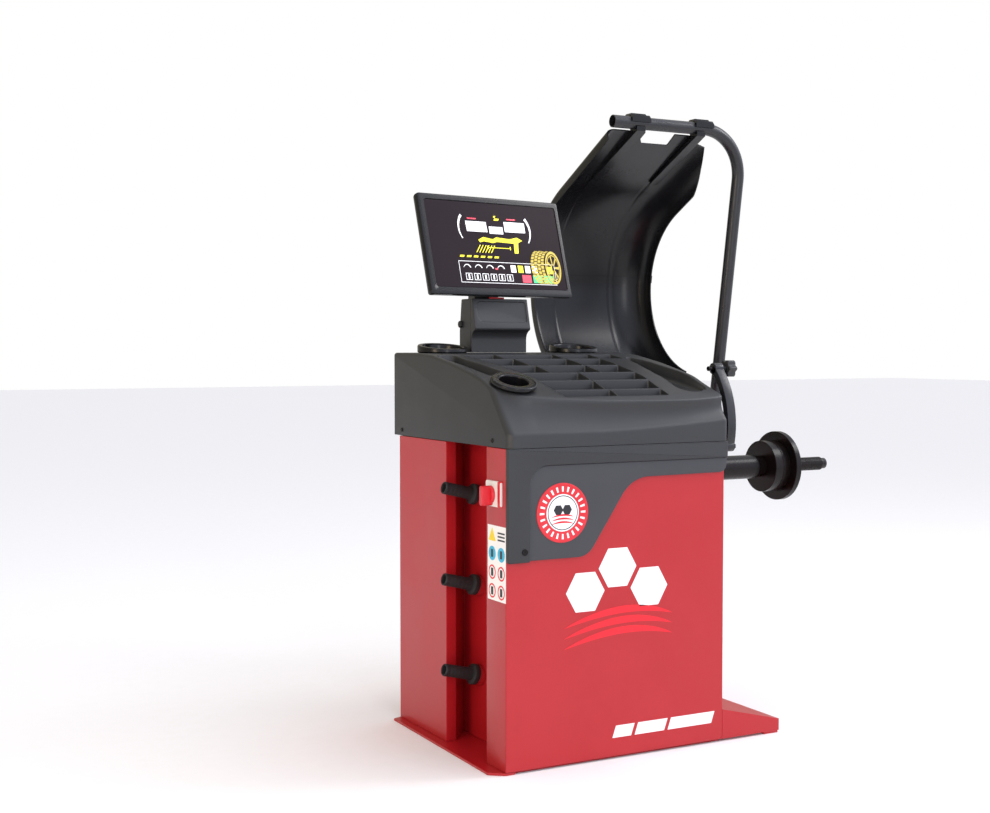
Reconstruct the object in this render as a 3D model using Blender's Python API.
"""Wheel balancer: a sheet-steel cabinet with a weight tray, a screen, a spindle and a swinging wheel hood.

Metres, +Z up. The origin is the middle of the base plate's underside. The operator stands at -Y, and
the spindle points to +X.
"""

import math

import bmesh
import bpy
from mathutils import Matrix, Vector

# Driving dimensions
GAP = 0.0003
HALF_WIDTH = 0.300
HALF_DEPTH = 0.283
SHEET = 0.0025
BASE_THICK = 0.006
CABINET_TOP = 0.733
TRAY_BOTTOM = 0.7343
TRAY_RIGHT = 0.305
TRAY_REAR = 0.320
DECK_TOP = 0.945
FASCIA_FRONT = -0.295
POCKET_X = -0.2185
SPINDLE_Y = -0.031
SPINDLE_Z = 0.641
SHAFT_RADIUS = 0.015
HOUSING_RADIUS = 0.0315
HOUSING_END = 0.6127
HOUSING_NOSE = 0.0285
FLANGE_FACE = 0.679
MOTOR_Y = 0.100
MOTOR_Z = 0.450
PULLEY_RADIUS = 0.060
MOTOR_PULLEY_RADIUS = 0.020
HOOD_PIVOT_Y = 0.340
HOOD_PIVOT_Z = 0.700
HOOD_TUBE_RADIUS = 0.017
HOOD_TUBE_X = 0.731
BAR_Y = 0.204
BAR_Z = 1.566
SHELL_Y = 0.314
SHELL_Z = 1.130
SHELL_RADIUS = 0.322
SHELL_THICK = 0.0035
SEAM_ANGLE = 8.0
# The shell's straight top as (distance past the arc, share of the fillet that is left).
SHELL_TOP = ((0.048, 1.0), (0.095, 1.0), (0.172, 0.68), (0.250, 0.40), (0.257, 0.10), (0.279, 0.08))
# Per clamp: x of the cap, x of the arm, where its tip lies past the arc, and its gap to the shell.
CLAMPS = {"left": (0.3745, 0.375, 0.005, 0.0008), "right": (0.5855, 0.574, 0.050, 0.0036)}
BRACKET_XS = {"left": 0.100, "right": 0.235}
GAUGE_Y = -0.238
GAUGE_Z = 0.716
GAUGE_TIP = (-0.190, 0.906)
GAUGE_ARM_X = (0.334, 0.359)
SCREEN_CENTRE = (-0.063, 0.197, 1.218)
SCREEN_YAW = 9.8
SCREEN_TILT = -14.6
SCREEN_WIDE = 0.458
SCREEN_HIGH = 0.263
TILT_AXIS_BACK = 0.060
STAND_LEFT = -0.139
STAND_RIGHT = 0.022
STAND_FRONT = 0.1975
STAND_TOP = 1.083
PEG_Y = -0.010
PEG_ZS = (0.601, 0.382, 0.164)
PEG_TILT = 13.4
SWITCH_Y = -0.222
SWITCH_Z = 0.628

RED = (0.44, 0.018, 0.030)
RED_BRIGHT = (0.60, 0.020, 0.024)
BLACK = (0.030, 0.032, 0.036)
GLOSS_BLACK = (0.014, 0.014, 0.016)
STEEL = (0.45, 0.45, 0.46)
DARK_STEEL = (0.028, 0.026, 0.028)
RUBBER = (0.012, 0.012, 0.012)
WHITE = (0.80, 0.80, 0.78)
GREEN = (0.05, 0.22, 0.10)
GLASS = (0.055, 0.040, 0.050)

# The tray's top as (y, z) from the front edge to the rear: flat at the back, falling to the operator.
DECK = (
    (-0.290, 0.832),
    (-0.261, 0.848),
    (-0.198, 0.871),
    (-0.161, 0.887),
    (-0.114, 0.899),
    (-0.016, 0.920),
    (0.104, 0.940),
    (0.170, 0.944),
    (TRAY_REAR, DECK_TOP),
)


def clear_scene():
    for old in list(bpy.data.objects):
        bpy.data.objects.remove(old, do_unlink=True)


def material(name, colour, roughness, metallic=0.0):
    made = bpy.data.materials.new(name)
    made.use_nodes = True
    shader = made.node_tree.nodes["Principled BSDF"]
    shader.inputs["Base Color"].default_value = (*colour, 1.0)
    shader.inputs["Roughness"].default_value = roughness
    shader.inputs["Metallic"].default_value = metallic
    return made


def add_object(name, bm, look, origin=(0, 0, 0), smooth=30):
    """Closes off the bmesh as one object whose origin is at a point given in world coordinates."""
    bmesh.ops.recalc_face_normals(bm, faces=bm.faces)
    bmesh.ops.translate(bm, verts=bm.verts, vec=-Vector(origin))
    mesh = bpy.data.meshes.new(name)
    bm.to_mesh(mesh)
    bm.free()
    mesh.shade_smooth()
    mesh.set_sharp_from_angle(angle=math.radians(smooth))
    made = bpy.data.objects.new(name, mesh)
    made.location = origin
    if look:
        mesh.materials.append(look)
    bpy.context.scene.collection.objects.link(made)
    return made


def place(plane, a, b, along):
    """A point from two in-plane values and one along the plane's normal."""
    return {"XY": (a, b, along), "YZ": (along, a, b), "XZ": (a, along, b)}[plane]


def prism_mesh(outline, plane, low, high, bm=None):
    """Extrudes a closed outline. low and high may be functions of the outline's two values."""
    bm = bm or bmesh.new()
    low_at = low if callable(low) else lambda a, b: low
    high_at = high if callable(high) else lambda a, b: high
    lows = [bm.verts.new(place(plane, a, b, low_at(a, b))) for a, b in outline]
    highs = [bm.verts.new(place(plane, a, b, high_at(a, b))) for a, b in outline]
    bm.faces.new(lows)
    bm.faces.new(reversed(highs))
    for i in range(len(outline)):
        j = (i + 1) % len(outline)
        bm.faces.new((lows[i], highs[i], highs[j], lows[j]))
    return bm


def box_mesh(low, high, bm=None):
    corners = [(low[0], low[1]), (high[0], low[1]), (high[0], high[1]), (low[0], high[1])]
    return prism_mesh(corners, "XY", low[2], high[2], bm)


def loft_mesh(sections, closed_ends=True, bm=None):
    """Skins rings of points that all have the same count."""
    bm = bm or bmesh.new()
    rings = [[bm.verts.new(point) for point in section] for section in sections]
    count = len(rings[0])
    for first, second in zip(rings, rings[1:]):
        for i in range(count):
            j = (i + 1) % count
            bm.faces.new((first[i], first[j], second[j], second[i]))
    if closed_ends:
        bm.faces.new(rings[0])
        bm.faces.new(reversed(rings[-1]))
    return bm


def turned_mesh(profile, origin, axis, steps=32, bm=None):
    """Turns (along, radius) points round an axis. A profile that starts and ends off the axis is a closed ring."""
    bm = bm or bmesh.new()
    turn = Vector((0, 0, 1)).rotation_difference(Vector(axis)).to_matrix()
    rings = []
    for along, radius in profile:
        if radius == 0:
            rings.append([bm.verts.new(Vector(origin) + turn @ Vector((0, 0, along)))])
            continue
        angles = [math.tau * i / steps for i in range(steps)]
        points = [(radius * math.cos(t), radius * math.sin(t), along) for t in angles]
        rings.append([bm.verts.new(Vector(origin) + turn @ Vector(p)) for p in points])
    pairs = list(zip(rings, rings[1:]))
    if profile[0][1] > 0:
        pairs.append((rings[-1], rings[0]))
    for first, second in pairs:
        for i in range(steps):
            j = (i + 1) % steps
            corners = [first[i % len(first)], first[j % len(first)], second[j % len(second)], second[i % len(second)]]
            bm.faces.new(list(dict.fromkeys(corners)))
    return bm


def pipe_mesh(path, outer, inner, sides=16):
    """A round pipe with open ends along a path of points."""
    points = [Vector(p) for p in path]
    bm = bmesh.new()
    loops = {outer: [], inner: []}
    tangent = (points[1] - points[0]).normalized()
    side = tangent.orthogonal().normalized()
    for i, point in enumerate(points):
        before = points[max(i - 1, 0)]
        after = points[min(i + 1, len(points) - 1)]
        new_tangent = (after - before).normalized()
        side = tangent.rotation_difference(new_tangent) @ side
        tangent = new_tangent
        up = tangent.cross(side)
        for radius, rings in loops.items():
            angles = [math.tau * k / sides for k in range(sides)]
            rings.append([bm.verts.new(point + radius * (math.cos(t) * side + math.sin(t) * up)) for t in angles])
    skins = [loops[outer], loops[inner]]
    pairs = [pair for rings in skins for pair in zip(rings, rings[1:])]
    pairs += [(skins[0][0], skins[1][0]), (skins[0][-1], skins[1][-1])]
    for first, second in pairs:
        for k in range(sides):
            m = (k + 1) % sides
            bm.faces.new((first[k], first[m], second[m], second[k]))
    return bm


def arc(centre, radius, start, end, steps):
    """Points on an arc, angles in degrees."""
    angles = [math.radians(start + (end - start) * i / steps) for i in range(steps + 1)]
    return [(centre[0] + radius * math.cos(t), centre[1] + radius * math.sin(t)) for t in angles]


def rounded(corners, steps=4):
    """An outline whose corners are (a, b, radius): each corner becomes an arc that meets both sides."""
    outline = []
    for i, (a, b, radius) in enumerate(corners):
        here = Vector((a, b))
        if radius == 0:
            outline.append((a, b))
            continue
        before = (Vector(corners[i - 1][:2]) - here).normalized()
        after = (Vector(corners[(i + 1) % len(corners)][:2]) - here).normalized()
        half = before.angle(after) / 2
        bisector = (before + after).normalized()
        centre = here + bisector * (radius / math.sin(half))
        start = here + before * (radius / math.tan(half)) - centre
        end = here + after * (radius / math.tan(half)) - centre
        sweep = start.angle_signed(end)
        for k in range(steps + 1):
            spoke = start.copy()
            spoke.rotate(Matrix.Rotation(-sweep * k / steps, 2))
            outline.append(tuple(centre + spoke))
    return outline


def round_rectangle(centre, wide, high, radius, steps=4):
    a, b = centre
    corners = [(a - wide / 2, b - high / 2), (a + wide / 2, b - high / 2)]
    corners += [(a + wide / 2, b + high / 2), (a - wide / 2, b + high / 2)]
    return rounded([(*corner, radius) for corner in corners], steps)


def boolean(target, tool, operation="DIFFERENCE"):
    """Adds a Boolean with an object that is only a tool: it is hidden from the render."""
    tool.hide_render = True
    tool.display_type = "WIRE"
    modifier = target.modifiers.new(operation.title() + " " + tool.name, "BOOLEAN")
    modifier.operation = operation
    modifier.object = tool


def tool_object(name, bm):
    return add_object(name, bm, None)


def deck_height(y):
    """The tray's top at a distance from the operator, straight between the named points."""
    for (y0, z0), (y1, z1) in zip(DECK, DECK[1:]):
        if y <= y1:
            return z0 + (z1 - z0) * (y - y0) / (y1 - y0)
    return DECK_TOP


def offset_path(path, thick):
    """The path moved to its right by the sheet's thickness, mitred at the bends."""
    moved = []
    for i, point in enumerate(path):
        here = Vector(point)
        normals = []
        for a, b in ((i - 1, i), (i, i + 1)):
            if a >= 0 and b < len(path):
                run = (Vector(path[b]) - Vector(path[a])).normalized()
                normals.append(Vector((run.y, -run.x)))
        mean = sum(normals, Vector((0, 0))).normalized()
        moved.append(tuple(here + mean * (thick / mean.dot(normals[0]))))
    return moved


# Cabinet


def make_base_plate(look):
    outline = [(-0.275, -0.281), (-0.301, -0.281), (-0.333, -0.256), (-0.322, 0.276), (-HALF_WIDTH, HALF_DEPTH)]
    outline += [(HALF_WIDTH, HALF_DEPTH), (HALF_WIDTH, -0.272), (-0.275, -0.272)]
    add_object("base_plate", prism_mesh(outline, "XY", 0, BASE_THICK), look)


def make_outrigger(look):
    """The tapered side foot under the spindle, with a levelling pad at its tip."""
    front = -HALF_DEPTH
    root = [(front, 0.006), (front, 0.079), (-0.163, 0.107), (-0.163, 0.006)]
    tip = [(front, 0.006), (front, 0.035), (-0.258, 0.035), (-0.258, 0.006)]
    ends = [[(HALF_WIDTH + GAP, y, z) for y, z in root], [(0.476, y, z) for y, z in tip]]
    foot = add_object("outrigger_foot", loft_mesh(ends), look)
    pad = tool_object("outrigger_pad_shape", box_mesh((0.430, -0.281, 0.0), (0.474, -0.262, 0.012)))
    boolean(foot, pad, "UNION")


def make_cabinet_left(look):
    """The left wall steps in to a pocket that holds the three storage pegs."""
    path = [(-HALF_WIDTH, -0.2802), (-HALF_WIDTH, -0.190), (POCKET_X, -0.190), (POCKET_X, 0.081)]
    path += [(-0.274, 0.017), (-HALF_WIDTH, 0.017), (-HALF_WIDTH, 0.2802)]
    outline = path + offset_path(path, SHEET)[::-1]
    add_object("cabinet_left", prism_mesh(outline, "XY", BASE_THICK + GAP, CABINET_TOP), look)


def make_cabinet_front(look):
    low, high = (-HALF_WIDTH, -HALF_DEPTH, 0.007), (HALF_WIDTH, -HALF_DEPTH + SHEET, CABINET_TOP)
    add_object("cabinet_front", box_mesh(low, high), look)


def make_cabinet_right(look):
    low = (HALF_WIDTH - SHEET, -0.2802, BASE_THICK + GAP)
    panel = add_object("cabinet_right", box_mesh(low, (HALF_WIDTH, 0.2802, CABINET_TOP)), look)
    bore = [(0, 0), (0, 0.0335), (0.04, 0.0335), (0.04, 0)]
    boolean(panel, tool_object("housing_hole", turned_mesh(bore, (0.28, SPINDLE_Y, SPINDLE_Z), (1, 0, 0))))
    rod_hole = [(0, 0), (0, 0.0085), (0.04, 0.0085), (0.04, 0)]
    boolean(panel, tool_object("rod_hole", turned_mesh(rod_hole, (0.28, GAUGE_Y, GAUGE_Z), (1, 0, 0), 16)))


def make_cabinet_back(look):
    low = (-HALF_WIDTH, HALF_DEPTH - SHEET, BASE_THICK + GAP)
    panel = add_object("cabinet_back", box_mesh(low, (HALF_WIDTH, HALF_DEPTH, CABINET_TOP)), look)
    slots = bmesh.new()
    for i in range(6):
        height = 0.34 + 0.024 * i
        box_mesh((0.06, 0.27, height), (0.20, 0.30, height + 0.010), slots)
    boolean(panel, tool_object("vent_slots", slots))


def make_cabinet_shelf(look):
    low, high = (POCKET_X + 0.006, -0.2795, 0.727), (HALF_WIDTH - SHEET - 0.001, 0.2795, CABINET_TOP)
    add_object("cabinet_shelf", box_mesh(low, high), look)


def make_pedestal(look):
    """The upright box column inside the cabinet that carries the spindle housing."""
    low, high = (0.090, -0.100, BASE_THICK + GAP), (0.230, 0.037, 0.7267)
    column = add_object("spindle_pedestal", box_mesh(low, high), look)
    wall = 0.006
    hollow = box_mesh((low[0] + wall, low[1] + wall, -0.01), (high[0] - wall, high[1] - wall, 0.80))
    boolean(column, tool_object("pedestal_hollow", hollow))
    bore = [(0, 0), (0, 0.0324), (0.20, 0.0324), (0.20, 0)]
    boolean(column, tool_object("pedestal_bore", turned_mesh(bore, (0.06, SPINDLE_Y, SPINDLE_Z), (1, 0, 0))))


def make_power_board(look):
    add_object("power_board", box_mesh((-0.16, 0.236, 0.30), (0.00, 0.2800, 0.52)), look)


def make_cord_gland(look):
    profile = [(0, 0), (0, 0.014), (0.006, 0.014), (0.006, 0.010), (0.018, 0.0085), (0.018, 0.004), (0.004, 0.004)]
    profile.append((0.004, 0))
    add_object("cord_gland", turned_mesh(profile, (-0.20, HALF_DEPTH + GAP, 0.12), (0, 1, 0), 16), look)


# Tray and fascia


def front_edge(x):
    """How far forward the deck reaches at a distance along the tray: it draws back at the left corner."""
    line = ((-0.300, -0.198), (-0.270, -0.236), (-0.238, -0.261), (-0.180, -0.272), (-0.040, -0.284))
    line += ((0.100, -0.288), (0.190, -0.288), (0.290, -0.278), (TRAY_RIGHT, -0.270))
    for (x0, y0), (x1, y1) in zip(line, line[1:]):
        if x <= x1:
            return y0 + (y1 - y0) * (x - x0) / (x1 - x0)
    return line[-1][1]


def ridge_height(x):
    """The crease under the concave front: it climbs gently to the right."""
    return 0.767 + 0.021 * max(0.0, (x + 0.05) / 0.355) ** 1.5


def tray_section(x):
    edge = front_edge(x)
    corner = 0.010 * max(0.0, (-0.288 - x) / 0.012) + 0.006 * max(0.0, (x - 0.295) / 0.010)
    face_top = deck_height(edge)
    ridge = ridge_height(x)
    fall = Vector((FASCIA_FRONT + 0.002 + corner - edge, ridge - face_top))
    bow = 0.009 * min(1.0, max(0.0, (x + HALF_WIDTH) / 0.08))
    section = [(TRAY_REAR, TRAY_BOTTOM), (TRAY_REAR, 0.938), (0.312, DECK_TOP)]
    section += [(y, z) for y, z in reversed(DECK[3:-1])]
    section.append(((edge - 0.161) / 2, deck_height((edge - 0.161) / 2)))
    section.append((edge, face_top))
    for share in (0.25, 0.5, 0.75):
        inward = bow * math.sin(math.pi * share)
        section.append((edge + fall.x * share + inward, face_top + fall.y * share))
    section += [(FASCIA_FRONT + corner, ridge - 0.003), (FASCIA_FRONT + corner, TRAY_BOTTOM)]
    return [(x, y, z) for y, z in section]


def insert_outline(grow):
    """The bin insert seen from above, its left side leaning in towards the operator."""
    rear, front = 0.1085 + grow, -0.268 - grow
    left_rear, left_front = -0.2195 - grow, -0.1390 - grow
    outline = [(left_rear, rear), (0.241 + grow, rear), (0.2285 + grow, 0.0385 - grow)]
    return outline + [(0.1550 + grow, 0.0385 - grow), (0.1550 + grow, front), (left_front, front)]


def insert_bottom(y):
    return 0.795 + (y + 0.272) * 0.2552


def trough_outlines():
    """The two long hand troughs that flank the bins."""
    left = rounded([(-0.286, 0.104, 0.02), (-0.286, 0.02, 0), (-0.262, -0.140, 0.02), (-0.204, -0.140, 0.02),
                    (-0.236, 0.030, 0), (-0.236, 0.104, 0.02)])
    right = [(0.249, 0.078), (0.238, 0.055), (0.221, -0.020), (0.203, -0.130), (0.208, -0.190)]
    right += arc((0.248, -0.208), 0.038, 160, 360, 10)
    right += [(0.288, -0.150), (0.286, -0.100), (0.279, -0.040), (0.266, 0.020)]
    return {"left": left, "right": right}


CUPS = {
    "rear_left": {"at": (-0.211, 0.215, 0.9455), "tilt": 0.0, "outer": 0.064, "inner": 0.052, "rim": 0.0165},
    "rear_right": {"at": (0.178, 0.215, 0.9455), "tilt": 0.0, "outer": 0.064, "inner": 0.052, "rim": 0.0165},
    "front_left": {"at": (-0.238, -0.203, 0.8745), "tilt": 20.0, "outer": 0.054, "inner": 0.034, "rim": 0.010},
}


def cup_axis(cup):
    tilt = math.radians(cup["tilt"])
    return (0, -math.sin(tilt), math.cos(tilt))


def make_tray(look):
    stations = (-0.300, -0.288, -0.270, -0.238, -0.210, -0.180, -0.110, -0.040, 0.030, 0.100, 0.145, 0.190, 0.240)
    stations += (0.290, 0.295, TRAY_RIGHT)
    tray = add_object("weight_tray", loft_mesh([tray_section(x) for x in stations]), look)
    under = [(0.312, 0.70), (0.312, 0.885), (0.125, 0.885), (-0.250, 0.785), (-0.280, 0.768), (-0.286, 0.70)]
    boolean(tray, tool_object("tray_hollow", prism_mesh(under, "YZ", -0.292, 0.297)))
    well = prism_mesh(insert_outline(0.0005), "XY", lambda x, y: insert_bottom(y) - 0.0005, 1.0)
    boolean(tray, tool_object("insert_well", well))
    for side, outline in trough_outlines().items():
        floor = prism_mesh(outline, "XY", lambda x, y: 0.859 + (y + 0.15) * 0.19, 1.0)
        boolean(tray, tool_object("trough_" + side, floor))
    for name, cup in CUPS.items():
        radius = cup["inner"] + 0.0045
        bore = [(-0.046, 0), (-0.046, radius), (0.05, radius), (0.05, 0)]
        boolean(tray, tool_object("cup_well_" + name, turned_mesh(bore, cup["at"], cup_axis(cup))))


def make_cups(look):
    """Cone and tool cups: each has a rim on the deck and a bowl sunk in it. The rear rims slope forward."""
    for name, cup in CUPS.items():
        inner, outer, rim = cup["inner"], cup["outer"], cup["rim"]
        profile = [(-0.042, 0), (-0.042, inner + 0.0035), (0, inner + 0.0035), (0, outer), (rim * 0.8, outer)]
        profile += [(rim, outer - 0.004), (rim, inner + 0.002), (rim - 0.003, inner), (-0.039, inner), (-0.039, 0)]
        bm = turned_mesh(profile, cup["at"], cup_axis(cup))
        if cup["tilt"] == 0:
            for vertex in bm.verts:
                height = vertex.co.z - cup["at"][2]
                lift = 1 + 0.5 * (vertex.co.y - cup["at"][1]) / outer
                vertex.co.z = cup["at"][2] + (height * lift if height > 0 else height)
        add_object("tool_cup_" + name, bm, look)


BIN_ROWS = (
    (0.044, 0.104, (-0.122, 0.049, 0.156)),
    (-0.040, 0.040, (-0.100, 0.053)),
    (-0.115, -0.044, (-0.086, 0.056)),
    (-0.173, -0.119, (-0.011,)),
    (-0.225, -0.177, (-0.004,)),
    (-0.264, -0.229, (0.008,)),
)
DIVIDER = 0.004


def bin_left(y):
    return -0.2150 + (0.106 - y) * 0.2120


def make_bin_insert(look):
    """Sixteen weight bins in six rows that fall towards the operator, moulded as one insert."""
    profile = [(0.125, insert_bottom(0.125)), (-0.290, insert_bottom(-0.290))]
    profile += [(y, z) for y, z in DECK[:7]] + [(0.125, deck_height(0.125))]
    insert = add_object("bin_insert", prism_mesh(profile, "YZ", -0.26, 0.26), look)
    boolean(insert, tool_object("insert_shape", prism_mesh(insert_outline(0), "XY", 0.7, 1.0)), "INTERSECT")
    bins = bmesh.new()
    for front, rear, dividers in BIN_ROWS:
        floor = deck_height(front) - 0.034
        last = 0.151 if front < 0 else 0.224
        lefts = [None, *[x + DIVIDER / 2 for x in dividers]]
        rights = [*[x - DIVIDER / 2 for x in dividers], last]
        for left, right in zip(lefts, rights):
            near, far = (bin_left(front), bin_left(rear)) if left is None else (left, left)
            prism_mesh([(near, front), (right, front), (right, rear), (far, rear)], "XY", floor, 1.0, bins)
    boolean(insert, tool_object("bins_shape", bins))


def inset_outline():
    """The recessed front panel: a tall lobe at the left that sweeps up to a narrow band."""
    corners = [(-0.2447, 0.481, 0.003), (-0.2447, 0.6937, 0.048), (0.3030, 0.6937, 0), (0.3030, 0.659, 0.020)]
    corners += [(0.030, 0.657, 0.090), (-0.090, 0.483, 0.050)]
    return rounded(corners, 6)


def make_fascia(look, inset_look, badge_look, screw_look):
    band = [(-0.3010, 0.478, 0.004), (-0.3010, 0.7337, 0), (0.3035, 0.7337, 0), (0.3035, 0.694, 0)]
    band += [(-0.245, 0.694, 0.0483), (-0.245, 0.479, 0.002)]
    back = -HALF_DEPTH - GAP
    add_object("tray_fascia", prism_mesh(rounded(band, 6), "XZ", FASCIA_FRONT, back), look)
    add_object("fascia_inset", prism_mesh(inset_outline(), "XZ", FASCIA_FRONT + 0.005, back), inset_look)
    disc = [(0, 0), (0, 0.068), (0.0015, 0.067), (0.0015, 0)]
    add_object("fascia_badge", turned_mesh(disc, (-0.159, -0.2903, 0.585), (0, -1, 0), 40), badge_look)
    head = [(0, 0), (0, 0.0075), (0.0015, 0.0075), (0.0015, 0.004), (0.0005, 0.003), (0.0005, 0)]
    add_object("fascia_screw", turned_mesh(head, (-0.259, -0.2953, 0.502), (0, -1, 0), 16), screw_look)
    for name, y in (("front", -0.217), ("rear", 0.270)):
        small = [(0, 0), (0, 0.0055), (0.0015, 0.005), (0.0015, 0)]
        origin = (-HALF_WIDTH - GAP, y, 0.7485)
        add_object("tray_screw_" + name, turned_mesh(small, origin, (-1, 0, 0), 16), screw_look)


# Screen and stand


def screen_matrix():
    turn = Matrix.Rotation(math.radians(SCREEN_YAW), 4, "Z") @ Matrix.Rotation(math.radians(SCREEN_TILT), 4, "X")
    return Matrix.Translation(SCREEN_CENTRE) @ turn


def in_screen(bm):
    bmesh.ops.transform(bm, matrix=screen_matrix(), verts=bm.verts)
    return bm


def tilt_axis_point():
    return screen_matrix() @ Vector((0, TILT_AXIS_BACK, 0))


def make_stand(look, cover_look, knob_look):
    side = [(STAND_FRONT + GAP, 0.9457), (0.262, 0.9457), (0.262, 1.000), (0.252, STAND_TOP)]
    side.append((STAND_FRONT + GAP, STAND_TOP))
    body = add_object("stand_body", prism_mesh(side, "YZ", STAND_LEFT, STAND_RIGHT), look)
    pivot = tilt_axis_point()
    neck = box_mesh((pivot.x - 0.035, pivot.y - 0.020, 1.05), (pivot.x + 0.035, pivot.y + 0.020, 1.150))
    boolean(body, tool_object("stand_neck", neck), "UNION")
    cover = [(STAND_FRONT, STAND_TOP), (STAND_FRONT, 0.9457), (0.1935, 0.9457)]
    cover += arc((0.1685, 0.978), 0.025, 0, 78, 6)
    cover += [(0.1725, 1.0045), (0.1715, 1.008), (0.1905, STAND_TOP)]
    front = add_object("stand_cover", prism_mesh(cover, "YZ", STAND_LEFT, STAND_RIGHT), cover_look)
    lean = math.atan2(0.019, STAND_TOP - 1.008)
    recess = rounded([(-0.072, -0.027, 0.020), (0.072, -0.027, 0.006), (0.072, 0.027, 0.006), (-0.072, 0.027, 0.014)])
    panel = prism_mesh(recess, "XZ", -0.010, 0.0040)
    tilt = Matrix.Translation((-0.057, 0.1812, 1.0500)) @ Matrix.Rotation(-lean, 4, "X")
    bmesh.ops.transform(panel, matrix=tilt, verts=panel.verts)
    boolean(front, tool_object("cover_recess", panel))
    knob = [(0, 0), (0, 0.0095), (0.006, 0.0085), (0.006, 0)]
    origin = (STAND_LEFT - GAP, 0.251, 1.018)
    add_object("stand_knob", turned_mesh(knob, origin, (-1, 0, 0), 12), knob_look, origin)


def make_release_tab(look):
    add_object("release_tab", box_mesh((-0.083, 0.1990, STAND_TOP + GAP), (-0.041, 0.206, 1.0875)), look)


def make_yoke(look):
    """The turret that swivels on the stand and holds the screen's tilt axle."""
    pivot = tilt_axis_point()
    foot = [(0, 0), (0, 0.024), (0.014, 0.024), (0.014, 0)]
    start = (pivot.x, pivot.y, 1.1503)
    yoke = add_object("monitor_yoke", turned_mesh(foot, start, (0, 0, 1), 20), look, tuple(pivot))
    post = box_mesh((-0.014, -0.008, 1.155 - pivot.z), (0.014, 0.008, 0.004))
    axle = turned_mesh([(-0.032, 0), (-0.032, 0.005), (0.032, 0.005), (0.032, 0)], (0, 0, 0), (1, 0, 0), 16)
    knuckle = turned_mesh([(-0.018, 0), (-0.018, 0.012), (0.018, 0.012), (0.018, 0)], (0, 0, 0), (1, 0, 0), 20)
    place_here = Matrix.Translation(pivot) @ Matrix.Rotation(math.radians(SCREEN_YAW), 4, "Z")
    for name, bm in (("yoke_post", post), ("yoke_knuckle", knuckle), ("yoke_axle", axle)):
        bmesh.ops.transform(bm, matrix=place_here, verts=bm.verts)
        boolean(yoke, tool_object(name, bm), "UNION")


def make_screen(bezel_look, back_look, glass_look):
    pivot = tuple(tilt_axis_point())
    outer = round_rectangle((0, 0), SCREEN_WIDE, SCREEN_HIGH, 0.005, 3)
    bezel = add_object("monitor_bezel", in_screen(prism_mesh(outer, "XZ", 0, 0.012)), bezel_look, pivot)
    view = (0.0035, 0.0025)
    wide, high = SCREEN_WIDE - 0.031, SCREEN_HIGH - 0.035
    window = [(view[0] - wide / 2, view[1] - high / 2), (view[0] + wide / 2, view[1] - high / 2)]
    window += [(view[0] + wide / 2, view[1] + high / 2), (view[0] - wide / 2, view[1] + high / 2)]
    boolean(bezel, tool_object("bezel_window", in_screen(prism_mesh(window, "XZ", -0.01, 0.02))))
    inner = [(a + math.copysign(0.0003, view[0] - a), b + math.copysign(0.0003, view[1] - b)) for a, b in window]
    add_object("monitor_screen", in_screen(prism_mesh(inner, "XZ", 0.002, 0.0118)), glass_look, pivot)
    rings = []
    for back, shrink in ((0.0123, 0.0), (0.020, 0.002), (0.034, 0.030)):
        edge = round_rectangle((0, 0), SCREEN_WIDE - 2 * shrink, SCREEN_HIGH - 2 * shrink, 0.005, 3)
        rings.append([(a, back, b) for a, b in edge])
    shell = add_object("monitor_back", in_screen(loft_mesh(rings)), back_look, pivot)
    for side in (-1, 1):
        low, high = sorted((side * 0.0195, side * 0.0275))
        ear = rounded([(0.030, -0.016, 0), (0.074, -0.016, 0.014), (0.074, 0.016, 0.014), (0.030, 0.016, 0)], 4)
        boolean(shell, tool_object(f"screen_ear{side:+d}", in_screen(prism_mesh(ear, "YZ", low, high))), "UNION")
    bore = turned_mesh([(-0.04, 0), (-0.04, 0.0056), (0.04, 0.0056), (0.04, 0)], (0, TILT_AXIS_BACK, 0), (1, 0, 0), 16)
    boolean(shell, tool_object("ear_bores", in_screen(bore)))


# Pegs and switch


def make_pegs(peg_look, boss_look):
    """Rubber-capped pegs that lean up and outwards, each on a short welded boss."""
    tilt = math.radians(PEG_TILT)
    axis = Vector((-math.cos(tilt), 0, math.sin(tilt)))
    across = Vector((0, 1, 0))
    up = axis.cross(across)
    for number, height in enumerate(PEG_ZS, 1):
        root = Vector((POCKET_X - GAP, PEG_Y, height))
        angles = [math.tau * i / 24 for i in range(24)]
        wall_ring = [root + 0.023 * Vector((0, math.cos(t), -math.sin(t))) for t in angles]
        head = root + 0.014 * axis
        head_ring = [head + 0.023 * (math.cos(t) * across - math.sin(t) * -up) for t in angles]
        add_object(f"peg_boss_{number}", loft_mesh([wall_ring, head_ring]), boss_look)
        profile = [(0, 0), (0, 0.024), (0.001, 0.025), (0.013, 0.025), (0.014, 0.024), (0.014, 0.015)]
        profile += [(0.088, 0.015), (0.090, 0.013), (0.090, 0.0115), (0.024, 0.0115), (0.024, 0)]
        start = head + GAP * axis
        add_object(f"storage_peg_{number}", turned_mesh(profile, start, axis, 24), peg_look)


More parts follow.
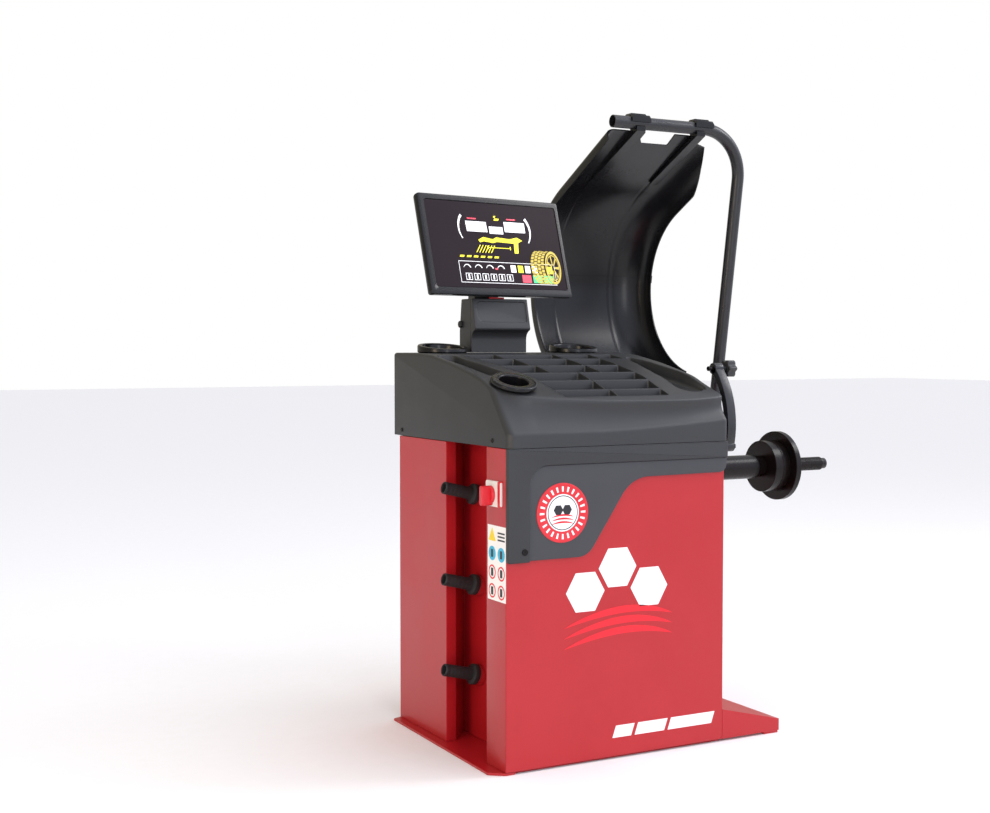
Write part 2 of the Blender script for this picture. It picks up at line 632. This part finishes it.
def make_switch(plate_look, knob_look):
    plate = round_rectangle((-0.2305, SWITCH_Z + 0.002), 0.069, 0.058, 0.003, 3)
    add_object("switch_plate", prism_mesh(plate, "YZ", -0.3058, -HALF_WIDTH - GAP), plate_look)
    origin = (-0.3061, SWITCH_Y, SWITCH_Z)
    hub = [(0, 0), (0, 0.0200), (0.007, 0.0185), (0.007, 0)]
    knob = add_object("switch_knob", turned_mesh(hub, origin, (-1, 0, 0), 24), knob_look, origin)
    low = (-0.332, SWITCH_Y - 0.0085, SWITCH_Z - 0.0250)
    high = (-0.310, SWITCH_Y + 0.0085, SWITCH_Z + 0.0200)
    boolean(knob, tool_object("switch_handle", box_mesh(low, high)), "UNION")


# Spindle and drive


def spindle_piece(name, profile, look, steps=32):
    origin = (0, SPINDLE_Y, SPINDLE_Z)
    return add_object(name, turned_mesh(profile, origin, (1, 0, 0), steps), look, origin)


def ring(start, end, inner, outer):
    return [(start, inner), (start, outer), (end, outer), (end, inner)]


def make_spindle(housing_look, shaft_look, disc_look, bearing_look, pulley_look):
    housing = [(0.060, 0.0272), (0.060, HOUSING_RADIUS), (0.587, HOUSING_RADIUS), (0.589, HOUSING_NOSE)]
    housing += [(HOUSING_END, HOUSING_NOSE), (HOUSING_END, 0.0272)]
    spindle_piece("spindle_housing", housing, housing_look)
    spindle_piece("bearing_inner", ring(0.068, 0.083, SHAFT_RADIUS + GAP, 0.0268), bearing_look)
    spindle_piece("bearing_outer", ring(0.592, 0.607, SHAFT_RADIUS + GAP, 0.0268), bearing_look)
    shaft = [(0.018, 0), (0.018, SHAFT_RADIUS), (0.6131, SHAFT_RADIUS), (0.6131, 0.018), (0.816, 0.018)]
    shaft += [(0.819, 0.0165), (0.819, 0.0145), (0.8325, 0.0145), (0.8345, 0.0125), (0.8345, 0)]
    spindle_piece("spindle_shaft", shaft, shaft_look, 24)
    pulley = [(0.030, SHAFT_RADIUS + GAP), (0.030, 0.062), (0.0315, 0.062), (0.0315, PULLEY_RADIUS)]
    pulley += [(0.0485, PULLEY_RADIUS), (0.0485, 0.062), (0.050, 0.062), (0.050, SHAFT_RADIUS + GAP)]
    spindle_piece("spindle_pulley", pulley, pulley_look)
    spindle_piece("encoder_disc", ring(0.0535, 0.0555, SHAFT_RADIUS + GAP, 0.046), disc_look)
    hub = [(0.6133, 0.018 + GAP), (0.6133, 0.067), (0.6143, 0.068), (0.661, 0.068), (0.662, 0.067)]
    spindle_piece("wheel_hub", hub + [(0.662, 0.018 + GAP)], shaft_look, 40)
    flange = [(0.6623, 0.018 + GAP), (0.6623, 0.091), (0.6635, 0.092), (0.678, 0.092), (FLANGE_FACE, 0.091)]
    spindle_piece("wheel_flange", flange + [(FLANGE_FACE, 0.018 + GAP)], shaft_look, 40)


def belt_outline(clearance):
    """The tangent loop round both pulleys."""
    line = Vector((MOTOR_Y - SPINDLE_Y, MOTOR_Z - SPINDLE_Z))
    lean = math.degrees(math.acos((PULLEY_RADIUS - MOTOR_PULLEY_RADIUS) / line.length))
    heading = math.degrees(math.atan2(line.y, line.x))
    big = arc((SPINDLE_Y, SPINDLE_Z), PULLEY_RADIUS + clearance, heading + lean, heading + 360 - lean, 24)
    small = arc((MOTOR_Y, MOTOR_Z), MOTOR_PULLEY_RADIUS + clearance, heading - lean, heading + lean, 10)
    return big + small


def make_drive(motor_look, pulley_look, belt_look):
    origin = (0, MOTOR_Y, MOTOR_Z)
    body = [(0.056, 0), (0.056, 0.054), (0.060, 0.060), (0.228, 0.060), (0.235, 0.050), (0.235, 0)]
    add_object("motor_body", turned_mesh(body, origin, (1, 0, 0), 28), motor_look)
    pulley = [(0.030, 0), (0.030, 0.022), (0.0315, 0.022), (0.0315, MOTOR_PULLEY_RADIUS)]
    pulley += [(0.0485, MOTOR_PULLEY_RADIUS), (0.0485, 0.022), (0.050, 0.022), (0.050, 0.008), (0.0555, 0.008)]
    add_object("motor_pulley", turned_mesh(pulley + [(0.0555, 0)], origin, (1, 0, 0), 24), pulley_look, origin)
    inner, outer = belt_outline(0.0009), belt_outline(0.0042)
    bm = bmesh.new()
    loops = [[bm.verts.new((x, y, z)) for y, z in line] for x, line in
             ((0.033, inner), (0.033, outer), (0.047, outer), (0.047, inner))]
    for first, second in zip(loops, loops[1:] + loops[:1]):
        for i in range(len(first)):
            j = (i + 1) % len(first)
            bm.faces.new((first[i], first[j], second[j], second[i]))
    add_object("drive_belt", bm, belt_look)


# Distance gauge


def gauge_line(offset, steps=10):
    """The sickle arm's curve in (y, z), moved out from its centre line by offset."""
    foot, tip = Vector((GAUGE_Y, GAUGE_Z)), Vector(GAUGE_TIP)
    chord = tip - foot
    sag = 0.026
    radius = chord.length ** 2 / (8 * sag) + sag / 2
    inward = Vector((chord.y, -chord.x)).normalized()
    centre = (foot + tip) / 2 + inward * (radius - sag)
    start = math.degrees(math.atan2(foot.y - centre.y, foot.x - centre.x)) % 360
    end = math.degrees(math.atan2(tip.y - centre.y, tip.x - centre.x)) % 360
    return arc(centre, radius + offset, start, end, steps)


def make_gauge(rod_look, arm_look, knob_look):
    near, far = GAUGE_ARM_X
    origin = (0, GAUGE_Y, GAUGE_Z)
    rod = [(0.050, 0), (0.050, 0.007), (near - 0.0005, 0.007), (near - 0.0005, 0)]
    add_object("gauge_rod", turned_mesh(rod, origin, (1, 0, 0), 16), rod_look, origin)
    tip = ((near + far) / 2, *GAUGE_TIP)
    outline = gauge_line(0.009) + gauge_line(-0.009)[::-1]
    pivot = ((near + far) / 2, GAUGE_Y, GAUGE_Z)
    arm = add_object("gauge_arm", prism_mesh(outline, "YZ", near, far), arm_look, pivot)
    thick = far - near
    for name, centre, radius in (("gauge_foot_eye", (GAUGE_Y, GAUGE_Z), 0.013), ("gauge_tip_eye", GAUGE_TIP, 0.014)):
        eye = turned_mesh([(0, 0), (0, radius), (thick, radius), (thick, 0)], (near, *centre), (1, 0, 0), 20)
        boolean(arm, tool_object(name, eye), "UNION")
    bolt = [(0, 0), (0, 0.008), (0.006, 0.008), (0.006, 0)]
    add_object("gauge_bolt", turned_mesh(bolt, (far + GAP, GAUGE_Y, GAUGE_Z), (1, 0, 0), 6), rod_look)
    pin = [(0, 0), (0, 0.006), (0.014, 0.006), (0.014, 0)]
    add_object("gauge_pin", turned_mesh(pin, (near - GAP, *GAUGE_TIP), (-1, 0, 0), 16), rod_look)
    stem = [(0, 0), (0, 0.0065), (0.016, 0.0065), (0.016, 0)]
    knob = add_object("gauge_knob", turned_mesh(stem, (far + GAP, *GAUGE_TIP), (1, 0, 0), 16), knob_look, tip)
    lobes = []
    for i in range(24):
        angle = math.tau * i / 24
        radius = 0.0200 + 0.0028 * math.cos(6 * angle)
        lobes.append((GAUGE_TIP[0] + radius * math.cos(angle), GAUGE_TIP[1] + radius * math.sin(angle)))
    boolean(knob, tool_object("gauge_knob_head", prism_mesh(lobes, "YZ", far + 0.012, far + 0.037)), "UNION")


# Hood


def hood_path():
    """The bent tube: pivot run, a leg that leans forward, and the top bar, with round bends."""
    corners = [Vector((0.060, HOOD_PIVOT_Y, HOOD_PIVOT_Z)), Vector((HOOD_TUBE_X, HOOD_PIVOT_Y, HOOD_PIVOT_Z))]
    corners += [Vector((HOOD_TUBE_X, BAR_Y, BAR_Z)), Vector((0.293, BAR_Y, BAR_Z))]
    path = [corners[0]]
    for i, bend in ((1, 0.10), (2, 0.135)):
        here = corners[i]
        before = (corners[i - 1] - here).normalized()
        after = (corners[i + 1] - here).normalized()
        centre = here + (before + after) * bend
        for k in range(9):
            angle = math.pi / 2 * k / 8
            path.append(centre - after * bend * math.cos(angle) - before * bend * math.sin(angle))
    return path + [corners[3]]


def shell_profile(left_x, reach):
    """(x, radius) points across the shell: a left wall, a flat back and a fillet that runs a share of the way
    to the right rim."""
    full = [(0.283, 0.287), (0.283, 0.302), (0.289, 0.313), (0.302, 0.3195), (0.330, SHELL_RADIUS)]
    if left_x > 0.30:
        full = [(left_x, 0.3195), (left_x + 0.004, 0.3198), (left_x + 0.008, 0.3202), (left_x + 0.012, 0.3206)]
        full.append((0.340, SHELL_RADIUS))
    full += [(0.365, SHELL_RADIUS), (0.465, SHELL_RADIUS), (0.565, SHELL_RADIUS)]
    for i in range(1, 7):
        t = math.pi / 2 * reach * i / 6
        full.append((0.565 + 0.100 * math.sin(t), 0.250 + 0.072 * math.cos(t)))
    return full


def thicken(profile):
    """The profile's outer side, one wall thickness away."""
    points = [Vector(p) for p in profile]
    outer = []
    for i, point in enumerate(points):
        run = (points[min(i + 1, len(points) - 1)] - points[max(i - 1, 0)]).normalized()
        outer.append(tuple(point + Vector((-run.y, run.x)) * SHELL_THICK))
    return outer


def shell_frame(angle, beyond):
    """Where a radius starts and which way it points: round the arc, then straight on along the tangent."""
    t = math.radians(angle)
    outward = Vector((0, math.cos(t), math.sin(t)))
    along = Vector((0, -math.sin(t), math.cos(t)))
    return Vector((0, SHELL_Y, SHELL_Z)) + along * beyond, outward


def shell_section(angle, beyond=0.0, left_x=0.283, reach=1.0):
    inner = shell_profile(left_x, reach)
    start, outward = shell_frame(angle, beyond)
    ring_points = inner + thicken(inner)[::-1]
    return [start + outward * radius + Vector((x, 0, 0)) for x, radius in ring_points]


def make_hood(tube_look, shell_look, clamp_look, bracket_look):
    pivot = (0.060, HOOD_PIVOT_Y, HOOD_PIVOT_Z)
    add_object("hood_tube", pipe_mesh(hood_path(), HOOD_TUBE_RADIUS, 0.0148), tube_look, pivot)
    lower = [shell_section(angle, left_x=0.316) for angle in (-75, -66, -57, -48)]
    lower += [shell_section(-42, left_x=0.283)]
    lower += [shell_section(-42 + (SEAM_ANGLE + 42) * i / 5) for i in range(1, 6)]
    add_object("hood_shell_lower", loft_mesh(lower), shell_look, pivot, 50)
    upper = [shell_section(SEAM_ANGLE + 0.1 + (61.9 - SEAM_ANGLE) * i / 6) for i in range(7)]
    upper += [shell_section(62, distance, reach=share) for distance, share in SHELL_TOP]
    shell = add_object("hood_shell_upper", loft_mesh(upper), shell_look, pivot, 50)
    boolean(shell, tool_object("shell_notch", shell_notch()))
    for side, measures in CLAMPS.items():
        make_clamp(side, measures, clamp_look)
    for side, x in BRACKET_XS.items():
        make_bracket(side, x, bracket_look)


def shell_notch():
    """The opening in the shell's top edge between the clamps: a prism given by x, the distance on and the radius."""
    outline = [(0.410, 0.30), (0.412, 0.249), (0.427, 0.229), (0.513, 0.229), (0.505, 0.30)]
    bm = prism_mesh(outline, "XY", SHELL_RADIUS - 0.02, SHELL_RADIUS + 0.02)
    for vertex in bm.verts:
        x, beyond, radius = vertex.co
        start, outward = shell_frame(62, beyond)
        vertex.co = start + outward * radius + Vector((x, 0, 0))
    return bm


def make_clamp(side, measures, look):
    """A cap of a plate and a lower block over the bar, on a wedge-shaped arm that lies against the shell."""
    x, arm_x, tip, gap = measures
    origin = (x, HOOD_PIVOT_Y, HOOD_PIVOT_Z)
    plate = [(x - 0.0415, BAR_Z + 0.002), (x + 0.0415, BAR_Z + 0.002), (x + 0.023, BAR_Z + 0.0255)]
    plate.append((x - 0.023, BAR_Z + 0.0255))
    shape = prism_mesh(plate, "XZ", BAR_Y - 0.004, BAR_Y + 0.0225)
    clamp = add_object(f"hood_clamp_{side}", shape, look, origin)
    block = [(x - 0.030, BAR_Z + 0.001), (x + 0.031, BAR_Z + 0.001), (x + 0.031, BAR_Z + 0.011)]
    block += [(x + 0.025, BAR_Z + 0.019), (x - 0.026, BAR_Z + 0.019), (x - 0.030, BAR_Z + 0.013)]
    boolean(clamp, tool_object("clamp_block_" + side, prism_mesh(block, "XZ", BAR_Y - 0.021, BAR_Y - 0.001)), "UNION")
    foot, outward = shell_frame(62, tip)
    far_end, _ = shell_frame(62, 0.2795)
    near = foot + outward * (SHELL_RADIUS - gap)
    far = far_end + outward * (SHELL_RADIUS - gap)
    arm = [(near.y, near.z), (far.y, far.z), (BAR_Y + 0.0220, BAR_Z - 0.006), (BAR_Y + 0.0220, BAR_Z + 0.008)]
    arm += [(BAR_Y, BAR_Z + 0.008), (BAR_Y - 0.0185, BAR_Z - 0.011), (BAR_Y - 0.0175, BAR_Z - 0.023)]
    arm.append((near.y - 0.003, near.z - 0.0035))
    boolean(clamp, tool_object("clamp_arm_" + side, prism_mesh(arm, "YZ", arm_x - 0.014, arm_x + 0.014)), "UNION")
    bore = [(0, 0), (0, 0.0175), (0.12, 0.0175), (0.12, 0)]
    boolean(clamp, tool_object("clamp_bore_" + side, turned_mesh(bore, (x - 0.060, BAR_Y, BAR_Z), (1, 0, 0), 24)))


def make_bracket(side, x, look):
    """A bearing block on the back of the cabinet that the hood's tube turns in."""
    back = HALF_DEPTH + GAP
    outline = [(back, 0.640), (back + 0.007, 0.640)]
    outline += arc((HOOD_PIVOT_Y, HOOD_PIVOT_Z), 0.027, -60, 90, 8)
    outline += [(back, HOOD_PIVOT_Z + 0.027)]
    bracket = add_object(f"hood_bracket_{side}", prism_mesh(outline, "YZ", x, x + 0.040), look)
    bore = [(0, 0), (0, 0.0180), (0.06, 0.0180), (0.06, 0)]
    origin = (x - 0.01, HOOD_PIVOT_Y, HOOD_PIVOT_Z)
    boolean(bracket, tool_object("bracket_bore_" + side, turned_mesh(bore, origin, (1, 0, 0), 28)))


def build():
    clear_scene()
    red = material("red paint", RED, 0.35)
    bright = material("bright red plastic", RED_BRIGHT, 0.35)
    black = material("black moulded plastic", BLACK, 0.45)
    inset = material("grey moulded plastic", (0.070, 0.074, 0.084), 0.5)
    gloss = material("glossy black moulding", GLOSS_BLACK, 0.22)
    tube = material("black tube paint", BLACK, 0.3)
    shaft = material("black oxide steel", DARK_STEEL, 0.25, 0.6)
    steel = material("bright steel", STEEL, 0.3, 1.0)
    rubber = material("rubber", RUBBER, 0.6)
    white = material("white plastic", WHITE, 0.4)
    board = material("circuit board", GREEN, 0.6)
    glass = material("display glass", GLASS, 0.15)
    make_base_plate(red)
    make_outrigger(red)
    make_cabinet_left(red)
    make_cabinet_front(red)
    make_cabinet_right(red)
    make_cabinet_back(red)
    make_cabinet_shelf(steel)
    make_pedestal(steel)
    make_power_board(board)
    make_cord_gland(rubber)
    make_tray(black)
    make_cups(gloss)
    make_bin_insert(black)
    make_fascia(black, inset, bright, shaft)
    make_stand(black, black, rubber)
    make_release_tab(bright)
    make_yoke(black)
    make_screen(inset, black, glass)
    make_pegs(rubber, red)
    make_switch(white, bright)
    make_spindle(tube, shaft, steel, steel, steel)
    make_drive(tube, steel, rubber)
    make_gauge(shaft, tube, black)
    make_hood(tube, gloss, tube, red)


build()
